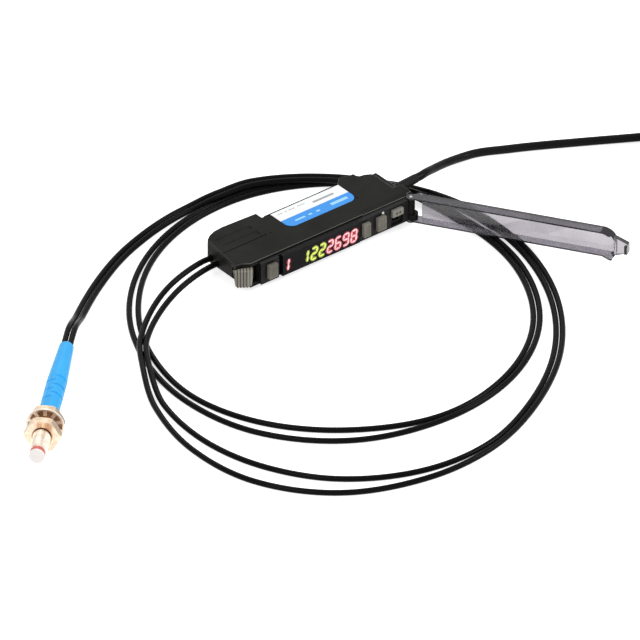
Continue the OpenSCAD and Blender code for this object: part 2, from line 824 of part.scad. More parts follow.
// Sensing face with the polished ends of both fibres
module fibre_tip() {
  color("#d8d4c8") on_head(face_start) difference() {
    cylinder(d = face_d, h = face_t);
    for (side = [-1, 1])
      translate([0, side * 0.75, face_t - 0.2]) cylinder(r = 0.5, h = 1);
  }
}

case_shell();
side_cover();
side_label();
front_bezel();
display_window();
digit_display();
display_board();
main_board();
tact_switches();
set_button();
mode_button();
adjust_button();
slide_switch();
indicator_led();
dust_cover();
hinge_pin();
lock_lever();
lever_pin();
port_block();
fibre_clamp();
emitter_led();
receiver_diode();
end_cap();
cable_boot();
power_cable();
cable_coil();
coil_tie();
cable_tail();
wire_brown();
wire_black();
wire_blue();
wire_tips();
fibre_a();
fibre_b();
head_sleeve();
head_barrel();
rear_nut();
lock_washer();
front_nut();
marker_ring();
fibre_tip();
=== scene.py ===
"""Looks of a fibre optic sensor amplifier with its two fibres, sensing head and signal cable.

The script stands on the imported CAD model: origin at the middle of the rail seat, +X towards the
cable, -Y towards the display front, +Z up through the label side. Lengths are in metres, and in
millimetres where a name ends in mm.
"""

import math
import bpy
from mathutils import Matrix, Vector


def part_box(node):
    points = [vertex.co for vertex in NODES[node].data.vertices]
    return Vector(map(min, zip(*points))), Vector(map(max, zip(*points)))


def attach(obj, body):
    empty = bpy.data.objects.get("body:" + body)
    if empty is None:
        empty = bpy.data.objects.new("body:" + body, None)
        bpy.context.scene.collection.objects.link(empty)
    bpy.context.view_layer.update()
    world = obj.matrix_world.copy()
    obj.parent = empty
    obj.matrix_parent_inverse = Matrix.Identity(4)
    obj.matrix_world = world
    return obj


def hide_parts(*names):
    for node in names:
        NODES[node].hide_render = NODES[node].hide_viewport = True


bl_info = {
    "name": "Fibre optic sensor",
    "version": (1, 0, 0),
    "blender": (4, 5, 0),
    "location": "View3D > Sidebar > Sensor",
    "description": "Builds the housing, front, dust cover, fibres, cable and sensing head",
    "category": "Add Mesh",
}

import bmesh
import bpy
from bpy.props import FloatProperty, FloatVectorProperty, PointerProperty
from mathutils import Matrix, Vector

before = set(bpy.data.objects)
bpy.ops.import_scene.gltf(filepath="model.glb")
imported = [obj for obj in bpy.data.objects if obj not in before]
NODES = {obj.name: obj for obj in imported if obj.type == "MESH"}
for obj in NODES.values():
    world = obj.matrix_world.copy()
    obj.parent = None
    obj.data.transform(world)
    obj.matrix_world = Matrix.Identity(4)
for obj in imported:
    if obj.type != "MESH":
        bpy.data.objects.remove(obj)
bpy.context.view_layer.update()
MM = 0.001

# Places that come from the part's solids
WINDOW_FACE_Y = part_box("display_window")[0].y
LABEL_TOP_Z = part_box("side_label")[1].z
FLOOR_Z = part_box("coil_tie")[0].z

# Noise seldom leaves this range, so a range of colours or roughness is laid over it
NOISE_SPREAD = (0.3, 0.7)
# Faces narrower than this, on the mean, are shaded smooth; broad ones stay plain and flat
SMOOTH_BELOW = 2 * MM

# Fibre pair route: x, y, height of the pair above the floor, distance between the fibres
PAIR_ROUTE_MM = [
    (-41, -4.4, 6.4, 4.4), (-47, -4.4, 6.4, 4.4), (-67, -8.8, 4.9, 4), (-92, -25, 3.4, 2.4),
    (-102, -38.5, 3.4, 2.4), (-113, -60.5, 1.1, 3.5), (-118, -90, 1.1, 7),
    (-112.5, -118, 1.1, 10), (-95, -141.5, 1.1, 9), (-66, -154.8, 1.1, 5),
    (-37, -155, 1.1, 2.8), (-8, -143.6, 1.1, 2.4), (22, -121.3, 1.1, 2.4),
    (43.9, -91.1, 1.1, 2.4), (54.9, -57.7, 1.1, 2.4), (54.6, -25.7, 1.1, 2.4),
    (46, -3, 1.1, 2.4), (29.5, 15.5, 1.1, 2.4), (3, 28.5, 1.1, 2.4), (-25, 29.3, 1.1, 2.4),
    (-54, 18.6, 1.1, 2.7), (-80, -4, 1.1, 3.3), (-96, -32, 1.1, 3.3), (-101.7, -64, 1.1, 3.8),
    (-93.5, -94.3, 1.1, 6.5), (-71, -118.5, 1.1, 6.8), (-38, -130, 1.1, 2.6),
    (-4, -124.5, 1.1, 2.4), (26, -104, 1.1, 2.4), (45.2, -71.2, 1.1, 2.4),
    (49.6, -37.7, 1.1, 2.4), (41, -3, 3.4, 2.4), (26.2, 16.5, 3.4, 2.4),
    (3.2, 31.2, 3.4, 2.4), (-11, 33.3, 3.0, 2.4), (-25.3, 34.8, 1.1, 2.4),
    (-56, 28, 1.1, 2.4), (-80.8, 15.9, 1.1, 2.4), (-99.5, 2.6, 2.6, 2.4),
    (-112.9, -9, 7, 2.3), (-120.8, -16.4, 7, 2.3), (-135.4, -30.1, 7, 2.3)]

# Cable route from the boot to the coil, then from the coil to the stripped end
CABLE_ROUTE_MM = [
    (47.4, -8.7, 7.6), (50.4, -8.4, 7.6), (58, -5.6, 5.8), (67, -2.8, 3.6), (78, -1.6, 1.7),
    (92, -7.5, 1.6), (114, -19.5, 1.6), (135, -32, 1.8), (148, -39.8, 2.1)]
TAIL_ROUTE_MM = [
    (167.6, -73.4, 11), (166.5, -82, 8.6), (162.5, -93, 4.4), (157, -101.5, 1.8),
    (142.4, -113.2, 1.6)]

# Coil: radii at the middle of the cable, and turns in each layer
COIL_CENTRE_MM = (144, -64.6)
COIL_OUTER_MM, COIL_INNER_MM = 23.5, 10.5
COIL_PITCH_MM = 3.25
COIL_LAYERS, COIL_TURNS = 4, 4
COIL_START_DEG = 59
COIL_RISE_TURNS = 0.388
COIL_FIRST_HEIGHT_MM = 2.1

# Sensing head: where its axis starts and where it points
HEAD_START_MM = (-120.8, -16.4, -0.6)
HEAD_TOWARDS_MM = (-7.9, -7.4, 0)


def srgb(code):
    """Turns an sRGB hex colour into the linear colour with alpha that the nodes take."""
    channels = [int(code[i:i + 2], 16) / 255 for i in (1, 3, 5)]
    return tuple(c / 12.92 if c <= 0.04045 else ((c + 0.055) / 1.055) ** 2.4
                 for c in channels) + (1.0,)


def add(tree, kind, inputs=(), **settings):
    """Adds a node with its settings; an input is a value or the socket that it is linked to."""
    node = tree.nodes.new(kind)
    for name, value in settings.items():
        setattr(node, name, value)
    for socket, value in dict(inputs).items():
        if isinstance(value, bpy.types.NodeSocket):
            tree.links.new(value, node.inputs[socket])
        else:
            node.inputs[socket].default_value = value
    return node


def new_material(name, **settings):
    """Starts a material and returns it with its node tree and its shader."""
    material = bpy.data.materials.new(name)
    material.use_nodes = True
    tree = material.node_tree
    shader = tree.nodes["Principled BSDF"]
    for socket, value in settings.items():
        shader.inputs[socket.replace("_", " ")].default_value = value
    return material, tree, shader


def pattern(tree, size_mm, detail=2.0, stretch=(1, 1, 1), turn=(0, 0, 0)):
    """Noise on Object coordinates whose grains are size_mm across; returns its value socket."""
    place = add(tree, "ShaderNodeTexCoord")
    turned = add(tree, "ShaderNodeMapping",
                 {"Vector": place.outputs["Object"], "Scale": stretch, "Rotation": turn})
    noise = add(tree, "ShaderNodeTexNoise",
                {"Vector": turned.outputs["Vector"], "Scale": 1 / (size_mm * MM),
                 "Detail": detail})
    return noise.outputs["Fac"]


def front_to_back(tree):
    """Place of each point of a surface from the front to the back; returns its value socket."""
    place = add(tree, "ShaderNodeTexCoord")
    return add(tree, "ShaderNodeSeparateXYZ", {"Vector": place.outputs["Object"]}).outputs["Y"]


def tint(tree, shader, value, low, high, spread=NOISE_SPREAD, socket="Base Color"):
    """Takes a surface from one colour, hex or linear, to another as a value crosses its spread."""
    low, high = (srgb(one) if isinstance(one, str) else one for one in (low, high))
    share = add(tree, "ShaderNodeMapRange",
                {"Value": value, "From Min": spread[0], "From Max": spread[1]})
    mixed = add(tree, "ShaderNodeMix",
                {"Factor": share.outputs["Result"], "A": low, "B": high}, data_type="RGBA")
    tree.links.new(mixed.outputs["Result"], shader.inputs[socket])


def texture(tree, shader, value, rough=None, depth_mm=None):
    """Gives a surface a range of roughness, a relief of some depth, or both, by a noise value."""
    if rough:
        dulled = add(tree, "ShaderNodeMapRange",
                     {"Value": value, "From Min": NOISE_SPREAD[0], "From Max": NOISE_SPREAD[1],
                      "To Min": rough[0], "To Max": rough[1]})
        tree.links.new(dulled.outputs["Result"], shader.inputs["Roughness"])
    if depth_mm:
        bump = add(tree, "ShaderNodeBump", {"Height": value, "Distance": depth_mm * MM})
        tree.links.new(bump.outputs["Normal"], shader.inputs["Normal"])


def seen_directly(tree):
    """Value that is 1 for rays from the camera, from gloss and through glass."""
    path = add(tree, "ShaderNodeLightPath")
    two = add(tree, "ShaderNodeMath",
              {0: path.outputs["Is Camera Ray"], 1: path.outputs["Is Glossy Ray"]},
              operation="MAXIMUM")
    return add(tree, "ShaderNodeMath",
               {0: two.outputs["Value"], 1: path.outputs["Is Transmission Ray"]},
               operation="MAXIMUM").outputs["Value"]


def moulded_plastic(name, colour, lighter, rough=(0.42, 0.58), depth_mm=0.02, sheen=0.05):
    """Moulded plastic such as ABS: faint clouds, and the mould's eroded texture dulls its sheen.

    The grains are drawn coarser than the real ones, which are too fine to show.
    """
    material, tree, shader = new_material(name, IOR=1.53, Specular_IOR_Level=sheen)
    tint(tree, shader, pattern(tree, 9, detail=3), colour, lighter)
    texture(tree, shader, pattern(tree, 0.25, detail=1), rough, depth_mm)
    return material


def rounded_jacket(name, colour, lighter):
    """Extruded cable jacket: smooth, with a soft sheen and faint waves left by the die."""
    material, tree, shader = new_material(name, IOR=1.5, Specular_IOR_Level=0.05)
    tint(tree, shader, pattern(tree, 14), colour, lighter)
    texture(tree, shader, pattern(tree, 0.9, detail=1), (0.2, 0.32), 0.006)
    return material


def turned_metal(name, colour, darker, rough=(0.18, 0.34)):
    """Turned or drawn metal: tool lines round the head's axis, drawn coarse enough to show."""
    material, tree, shader = new_material(name, Metallic=1.0)
    heading = head_matrix().to_euler().z
    rings = pattern(tree, 0.35, detail=1, stretch=(1, 0.04, 0.04), turn=(0, 0, -heading))
    tint(tree, shader, pattern(tree, 2.5, detail=3), darker, colour)
    texture(tree, shader, rings, rough, 0.008)
    return material


def head_matrix():
    """Places a piece drawn along +X from the origin onto the axis of the sensing head."""
    turn = Vector(HEAD_TOWARDS_MM).to_track_quat("X", "Z").to_matrix().to_4x4()
    return Matrix.Translation(Vector(HEAD_START_MM) * MM) @ turn


def breadth(face):
    """Mean width of a face, however long it is and whatever way it runs."""
    return 2 * face.calc_area() / face.calc_perimeter()


def new_object(name, data):
    """Puts a new object with this data into the scene."""
    made = bpy.data.objects.new(name, data)
    bpy.context.scene.collection.objects.link(made)
    return made


def finish_piece(bm, name, material, body, nodes=(), smooth_deg=35):
    """Turns a bmesh into an object that rides on a body and stands for its CAD nodes."""
    for face in bm.faces:
        face.smooth = breadth(face) < SMOOTH_BELOW
    for edge in bm.edges:
        if len(edge.link_faces) == 2:
            edge.smooth = edge.calc_face_angle(0) < math.radians(smooth_deg)
    mesh = bpy.data.meshes.new(name)
    bm.to_mesh(mesh)
    bm.free()
    for one in material if isinstance(material, list) else [material]:
        mesh.materials.append(one)
    piece = new_object(name, mesh)
    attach(piece, body)
    if nodes:
        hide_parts(*nodes)
    return piece


def merged_copy(node):
    """Copy of a CAD node's mesh with its loose triangles merged into plain faces."""
    bm = bmesh.new()
    bm.from_mesh(NODES[node].data)
    bmesh.ops.remove_doubles(bm, verts=bm.verts, dist=2e-6)
    bmesh.ops.dissolve_limit(bm, angle_limit=math.radians(0.6), verts=bm.verts,
                             edges=bm.edges, use_dissolve_boundaries=False)
    return bm


def depth_from(line, face):
    """How far a face reaches away from one of its edges."""
    start = line.verts[0].co
    along = (line.verts[1].co - start).normalized()
    return max((v.co - start - along * (v.co - start).dot(along)).length for v in face.verts)


def soften(piece, radius, edge=None):
    """Rounds the sharp edges of a piece, save those of steps that are too low for it."""
    sharp, room = math.radians(38), 2.2 * radius
    bm = bmesh.new()
    bm.from_mesh(piece.data)
    weight = bm.edges.layers.float.new("bevel_weight_edge")
    for line in bm.edges:
        if (len(line.link_faces) == 2 and line.calc_face_angle(0) > sharp
                and all(depth_from(line, face) > room for face in line.link_faces)):
            line[weight] = 1
    bm.to_mesh(piece.data)
    bm.free()
    bevel = piece.modifiers.new("soft_edges", "BEVEL")
    bevel.width = radius
    bevel.segments = 2
    bevel.limit_method = "WEIGHT"
    bevel.harden_normals = True
    if edge:
        piece.data.materials.append(edge)
        bevel.material = len(piece.data.materials) - 1
    return piece


def dressed(node, name, material, radius, body="housing", edge=None):
    """The piece of a CAD node with soft edges and its real finish."""
    piece = finish_piece(merged_copy(node), name, material, body, [node])
    return soften(piece, radius, edge)


def coat(node, material):
    """Gives a CAD node that stays as it is its finish."""
    mesh = NODES[node].data
    mesh.materials.clear()
    mesh.materials.append(material)


def flat_heading(route, i):
    """Direction in plan at one point of a route."""
    def unit(a, b):
        return Vector((b[0] - a[0], b[1] - a[1])).normalized()
    if i == 0:
        return unit(route[0], route[1])
    if i == len(route) - 1:
        return unit(route[-2], route[-1])
    return (unit(route[i - 1], route[i]) + unit(route[i], route[i + 1])).normalized()


def strand(route, side):
    """One fibre of the pair: its middle moved half the distance between the fibres."""
    points = []
    for i, (x, y, height, apart) in enumerate(route):
        along = flat_heading(route, i)
        move = side * apart / 2
        points.append((x + along.y * move, y - along.x * move, height))
    return points


def level_slope(points, lengths, i):
    """Rise of a line at one point that never carries it past its neighbours' heights."""
    if i == 0 or i == len(points) - 1:
        return 0.0
    before = (points[i][2] - points[i - 1][2]) / lengths[i - 1]
    after = (points[i + 1][2] - points[i][2]) / lengths[i]
    return 2 * before * after / (before + after) if before * after > 0 else 0.0


def smooth_line(name, points_mm, radius, material):
    """Round cord as a curve through points whose third number is a height above the floor."""
    lengths = [math.dist(a[:2], b[:2]) for a, b in zip(points_mm, points_mm[1:])]
    curve = bpy.data.curves.new(name, "CURVE")
    curve.dimensions = "3D"
    curve.bevel_depth = radius
    curve.bevel_resolution = 5
    curve.use_fill_caps = True
    curve.resolution_u = 12
    line = curve.splines.new("BEZIER")
    line.bezier_points.add(len(points_mm) - 1)
    for i, (point, knot) in enumerate(zip(points_mm, line.bezier_points)):
        along = flat_heading(points_mm, i)
        rise = level_slope(points_mm, lengths, i)
        place = Vector((point[0], point[1], point[2] + FLOOR_Z / MM))
        step = Vector((along.x, along.y, rise))
        knot.handle_left_type = knot.handle_right_type = "FREE"
        knot.co = place * MM
        knot.handle_left = (place - step * lengths[max(i - 1, 0)] / 3) * MM
        knot.handle_right = (place + step * lengths[min(i, len(lengths) - 1)] / 3) * MM
    curve.materials.append(material)
    return new_object(name, curve)


def coil_points():
    """Turns of the coil, wound clockwise in layers that run inwards and outwards in turn."""
    points, angle = [], COIL_START_DEG
    steps_a_turn, steps_a_rise = 20, 8
    for layer in range(COIL_LAYERS):
        height = COIL_FIRST_HEIGHT_MM + layer * COIL_PITCH_MM
        inwards = layer % 2 == 0
        first, last = ((COIL_OUTER_MM, COIL_INNER_MM) if inwards
                       else (COIL_INNER_MM, COIL_OUTER_MM))
        count = COIL_TURNS * steps_a_turn
        for i in range(count):
            share = i / count
            points.append((first + (last - first) * share, angle - share * 360 * COIL_TURNS,
                           height))
        angle -= 360 * COIL_TURNS
        if layer < COIL_LAYERS - 1:
            for i in range(steps_a_rise):
                share = i / steps_a_rise
                ease = share * share * (3 - 2 * share)
                points.append((last, angle - share * 360 * COIL_RISE_TURNS,
                               height + ease * COIL_PITCH_MM))
            angle -= 360 * COIL_RISE_TURNS
        else:
            points.append((last, angle, height))
    return [(COIL_CENTRE_MM[0] + r * math.cos(math.radians(a)),
             COIL_CENTRE_MM[1] + r * math.sin(math.radians(a)), h) for r, a, h in points]


class SensorSizes(bpy.types.PropertyGroup):
    """Sizes that a user would change."""

    edge_radius: FloatProperty(
        name="Edge radius", description="Rounding of the moulded edges",
        default=0.2 * MM, unit="LENGTH", subtype="DISTANCE")
    fibre_diameter: FloatProperty(
        name="Fibre diameter", description="Diameter of a fibre's jacket",
        default=2.2 * MM, unit="LENGTH", subtype="DISTANCE")
    cable_diameter: FloatProperty(
        name="Cable diameter", description="Diameter of the signal cable",
        default=3.2 * MM, unit="LENGTH", subtype="DISTANCE")
    digit_height: FloatProperty(
        name="Digit height", description="Height of a digit on the display",
        default=4.6 * MM, unit="LENGTH", subtype="DISTANCE")
    thread_pitch: FloatProperty(
        name="Thread pitch", description="Pitch of the thread on the barrel",
        default=0.75 * MM, unit="LENGTH", subtype="DISTANCE")


class SensorColours(bpy.types.PropertyGroup):
    """Colours that a user would change."""

    side_cover: FloatVectorProperty(
        name="Side cover", description="Colour of the moulded side cover and end cap", size=4,
        default=srgb("#161614"), subtype="COLOR", min=0, max=1)
    label_band: FloatVectorProperty(
        name="Label band", description="Colour of the band along the label", size=4,
        default=srgb("#2695ee"), subtype="COLOR", min=0, max=1)
    sleeve: FloatVectorProperty(
        name="Sleeve", description="Colour of the head's flexible sleeve", size=4,
        default=srgb("#2fb0f8"), subtype="COLOR", min=0, max=1)


def sizes():
    """The sizes that the scene was given."""
    return bpy.context.scene.sensor_sizes


def colours():
    """The colours that the scene was given."""
    return bpy.context.scene.sensor_colours


class SENSOR_OT_stage(bpy.types.Operator):
    """Makes the floor, the soft lamps and the camera."""

    bl_idname = "sensor.stage"
    bl_label = "Stage"

    def execute(self, context):
        self.make_floor()
        self.make_world(context.scene)
        self.make_lamps()
        self.make_camera(context.scene)
        context.scene.view_settings.view_transform = "Standard"
        return {"FINISHED"}

    def make_floor(self):
        """White sweep: it takes the shadow, and the camera sees it as white."""
        half_width, middle_y, own_light = 1.6, -0.06, 0.7
        bm = bmesh.new()
        bmesh.ops.create_grid(bm, x_segments=8, y_segments=8, size=half_width)
        bmesh.ops.translate(bm, verts=bm.verts, vec=(0, middle_y, FLOOR_Z))
        mesh = bpy.data.meshes.new("floor")
        bm.to_mesh(mesh)
        bm.free()
        material = bpy.data.materials.new("white_paper_sweep")
        material.use_nodes = True
        tree = material.node_tree
        tree.nodes.clear()
        paper = add(tree, "ShaderNodeBsdfDiffuse")
        tint(tree, paper, pattern(tree, 40), "#f4f4f4", "#f8f8f8", spread=(0, 1), socket="Color")
        strength = add(tree, "ShaderNodeMath", {0: seen_directly(tree), 1: own_light},
                       operation="MULTIPLY")
        glow = add(tree, "ShaderNodeEmission",
                   {"Color": srgb("#ffffff"), "Strength": strength.outputs["Value"]})
        both = add(tree, "ShaderNodeAddShader",
                   {0: paper.outputs["BSDF"], 1: glow.outputs["Emission"]})
        add(tree, "ShaderNodeOutputMaterial", {"Surface": both.outputs["Shader"]})
        mesh.materials.append(material)
        new_object("floor", mesh)

    def make_world(self, scene):
        """Even white surroundings; the camera, gloss and glass see them as plain white."""
        world = bpy.data.worlds.new("studio")
        scene.world = world
        world.use_nodes = True
        tree = world.node_tree
        tree.nodes.clear()
        on_object, seen = 0.5, 1.0
        strength = add(tree, "ShaderNodeMapRange",
                       {"Value": seen_directly(tree), "To Min": on_object, "To Max": seen})
        sky = add(tree, "ShaderNodeBackground",
                  {"Color": srgb("#ffffff"), "Strength": strength.outputs["Result"]})
        add(tree, "ShaderNodeOutputWorld", {"Surface": sky.outputs["Background"]})

    def make_lamps(self):
        """Soft boxes behind the part, and on the left and the right in front of it."""
        for name, place, size, watts in (
                ("soft_box_back", (0.25, 0.5, 0.75), 0.5, 2.0),
                ("soft_box_left", (-0.75, -0.35, 0.6), 0.4, 2.4),
                ("soft_box_right", (0.6, -0.5, 0.5), 0.3, 3.2)):
            lamp = bpy.data.lights.new(name, "AREA")
            lamp.size = size
            lamp.energy = watts
            holder = new_object(name, lamp)
            holder.location = place
            holder.rotation_euler = (-Vector(place)).to_track_quat("-Z", "Y").to_euler()

    def make_camera(self, scene):
        """Long lens from far away, at 2770 pixels a metre in a picture 640 pixels wide."""
        picture_width, pixels_a_metre = 640, 2770
        distance, sensor_mm = 10.0, 36
        looked_at = Vector((-31.6, -51.2, FLOOR_Z / MM)) * MM
        seen_from = Vector((-0.5246, -0.6523, 0.5470)).normalized()
        data = bpy.data.cameras.new("camera")
        data.sensor_width = sensor_mm
        data.lens = sensor_mm * pixels_a_metre * distance / picture_width
        data.clip_start, data.clip_end = 1, 40
        camera = new_object("camera", data)
        camera.location = looked_at + seen_from * distance
        camera.rotation_euler = seen_from.to_track_quat("Z", "Y").to_euler()
        scene.camera = camera


class SENSOR_OT_housing(bpy.types.Operator):
    """Dresses the housing tray, its side cover, end cap and label."""

    bl_idname = "sensor.housing"
    bl_label = "Housing"

    def execute(self, context):
        radius = sizes().edge_radius
        # Moulded black ABS: nearly even black, lighter where the texture catches light
        case = moulded_plastic("moulded_black_abs", "#131311", "#1a1a18")
        cover = moulded_plastic("moulded_black_abs_cover", colours().side_cover[:], "#20201d")
        # Painted highlight on the rounded edges: their bevels a lighter grey, the front ones
        # lightest, with a glossier finish
        edge_highlight, tree, shader = new_material("painted_highlight_black_abs_edge", IOR=1.53,
                                            Specular_IOR_Level=0.3)
        brightest_y, behind = -20.8 * MM, -19.6 * MM
        tint(tree, shader, front_to_back(tree), "#2c2c29", "#62625b", spread=(behind, brightest_y))
        texture(tree, shader, pattern(tree, 0.25, detail=1), (0.3, 0.42))
        dressed("case_shell", "case", case, radius)
        for node, name in (("side_cover", "side_plate"), ("end_cap", "cable_end_cap")):
            dressed(node, name, cover, 1.6 * radius, edge=edge_highlight)
        self.make_label()
        return {"FINISHED"}

    def make_label(self):
        """White label with a blue band along its lower side and plain printed bars."""
        # Printed polyester film: a satin face with the faint waves of a stuck-on label
        material, tree, shader = new_material("printed_polyester_film", Roughness=0.42, IOR=1.57,
                                              Specular_IOR_Level=0.3)
        band_top, print_z = -6.7 * MM, LABEL_TOP_Z + 0.004 * MM
        band = add(tree, "ShaderNodeMath", {0: front_to_back(tree), 1: band_top},
                   operation="LESS_THAN")
        tint(tree, shader, band.outputs["Value"], "#fafbfc", colours().label_band[:],
             spread=(0, 1))
        texture(tree, shader, pattern(tree, 3, detail=1), depth_mm=0.01)
        dressed("side_label", "label", material, 0.04 * MM)
        # Printed bars: left end, lower side, width and height in millimetres
        for name, shade, bars in (
                ("print_grey", "#a8a9ac", ((-12.4, -2.9, 2.4, 0.35), (-9.2, -2.9, 1.2, 0.35),
                                           (-7.2, -2.9, 2.8, 0.35), (-3.2, -2.9, 3.4, 0.35),
                                           (3.0, -4.6, 9.5, 1.1))),
                ("print_pale_blue", "#a5dcff", ((-9.6, -10, 4.6, 0.9), (-3.4, -10, 1.6, 0.9),
                                                (0.2, -10, 1.6, 0.9), (7.2, -10, 7.6, 1.5)))):
            ink, tree, shader = new_material(name + "_ink", IOR=1.53, Specular_IOR_Level=0.3,
                                             Base_Color=srgb(shade))
            texture(tree, shader, pattern(tree, 0.25, detail=1), (0.42, 0.58), 0.002)
            bm = bmesh.new()
            for x, y, wide, high in bars:
                made = bmesh.ops.create_grid(bm, x_segments=1, y_segments=1, size=0.5)["verts"]
                bmesh.ops.scale(bm, vec=(wide * MM, high * MM, 1), verts=made)
                bmesh.ops.translate(bm, verts=made, vec=((x + wide / 2) * MM, (y + high / 2) * MM,
                                                         print_z))
            finish_piece(bm, name, ink, "housing")


class SENSOR_OT_front(bpy.types.Operator):
    """Builds the front panel with its display window, lit digits and indicator."""

    bl_idname = "sensor.front"
    bl_label = "Front"

    def execute(self, context):
        radius = sizes().edge_radius
        # Moulded satin ABS: an even black, a little glossier than the housing
        panel = moulded_plastic("moulded_satin_black_abs", "#111111", "#181818",
                                rough=(0.35, 0.5), sheen=0.1)
        # Painted highlight on its rounded edges: their bevels a lighter grey, with a glossier
        # finish
        edge_highlight = moulded_plastic("painted_highlight_satin_abs_edge", "#454545", "#525252",
                                 rough=(0.3, 0.42), depth_mm=0.005, sheen=0.5)
        dressed("front_bezel", "front_panel", panel, 1.3 * radius, edge=edge_highlight)
        # Smoked acrylic: near black with a faint violet cast and a weak, clean gloss
        smoked, tree, shader = new_material("smoked_acrylic", IOR=1.49, Specular_IOR_Level=0.05)
        tint(tree, shader, pattern(tree, 6), "#121113", "#181618")
        texture(tree, shader, pattern(tree, 0.6), (0.18, 0.26))
        dressed("display_window", "window", smoked, 0.1 * MM)
        self.make_digits()
        # Clear acrylic light pipe: a milky pale dot, faintly lit from behind
        pipe, tree, shader = new_material("clear_light_pipe", Roughness=0.2, IOR=1.49,
                                          Emission_Strength=0.12,
                                          Emission_Color=srgb("#f4f6ea"))
        tint(tree, shader, pattern(tree, 0.3), "#c4c4b4", "#d6d6c6")
        dressed("indicator_led", "light_pipe", pipe, 0.08 * MM)
        return {"FINISHED"}

    def make_digits(self):
        """Seven-segment digits that shine through the face of the window."""
        centres_mm = (-25.7, -16.8, -12.6, -8.9, -5.2, -1.6, 2.1, 5.8)
        shown = "11222698"
        for group, which, core, halo in (
                ("red", (0, 4, 5, 6, 7), ("#ff9aa6", "#fff0f2"), ("#c00e2c", "#dc1c3c")),
                ("green", (1, 2, 3), ("#e2f03c", "#f6ff6a"), ("#7c8e10", "#94a61a"))):
            # Each digit is drawn twice: the core segments, and under them a wider, dimmer halo
            # that is painted glow round the segments
            for part, shades, stroke, proud, power in (("core", core, 0.84, 0.03, 1.0),
                                                       ("halo", halo, 1.9, 0.01, 0.8)):
                bm = bmesh.new()
                for i in which:
                    self.digit(bm, shown[i], centres_mm[i], stroke, proud)
                light = self.lit(f"lit_{group}_{part}", *shades, power)
                finish_piece(bm, f"digits_{group}_{part}", light, "housing")

    def lit(self, name, rim, core, strength):
        """Light from a display segment: brighter in spots where the diodes sit."""
        material, tree, shader = new_material(name, Roughness=0.3, IOR=1.49,
                                              Emission_Strength=strength,
                                              Base_Color=srgb("#272727"))
        tint(tree, shader, pattern(tree, 0.9), rim, core, socket="Emission Color")
        return material

    def digit(self, bm, number, x_mm, stroke_mm, proud_mm):
        """Adds one slanted digit; each lit segment is a bar that narrows to its ends."""
        high = sizes().digit_height / MM
        wide, lean, middle_z = 0.5 * high, 0.1, -0.2
        gap, end_length, off_middle = 0.12, 0.35 * stroke_mm, 0.15 * stroke_mm
        # Two ends of each segment: across from 0 to 1, and up from -1 to 1
        ends = {"a": (0, 1, 1, 1), "b": (1, 1, 1, 0), "c": (1, 0, 1, -1), "d": (0, -1, 1, -1),
                "e": (0, 0, 0, -1), "f": (0, 1, 0, 0), "g": (0, 0, 1, 0)}
        shining = {"1": "bc", "2": "abged", "6": "afgedc", "9": "abcdfg", "8": "abcdefg"}
        for name in shining[number]:
            ax, az, bx, bz = ends[name]
            a = Vector(((ax - 0.5) * wide, 0, az * high / 2))
            b = Vector(((bx - 0.5) * wide, 0, bz * high / 2))
            along = (b - a).normalized()
            reach = (b - a).length / 2 - gap - end_length
            bar = bmesh.ops.create_circle(bm, cap_ends=True, segments=6,
                                          radius=stroke_mm / 2)["verts"]
            turn = Matrix((along, Vector((0, 1, 0)), Vector((-along.z, 0, along.x)))).transposed()
            for v in bar:
                # The hexagon's two corners at the middle stay there, and the others move out
                if abs(v.co.x) > off_middle:
                    v.co.x += math.copysign(reach, v.co.x)
                v.co = (a + b) / 2 + turn @ Vector((v.co.x, 0, v.co.y))
                v.co.x += lean * v.co.z
                v.co += Vector((x_mm, WINDOW_FACE_Y / MM - proud_mm, middle_z))
                v.co *= MM


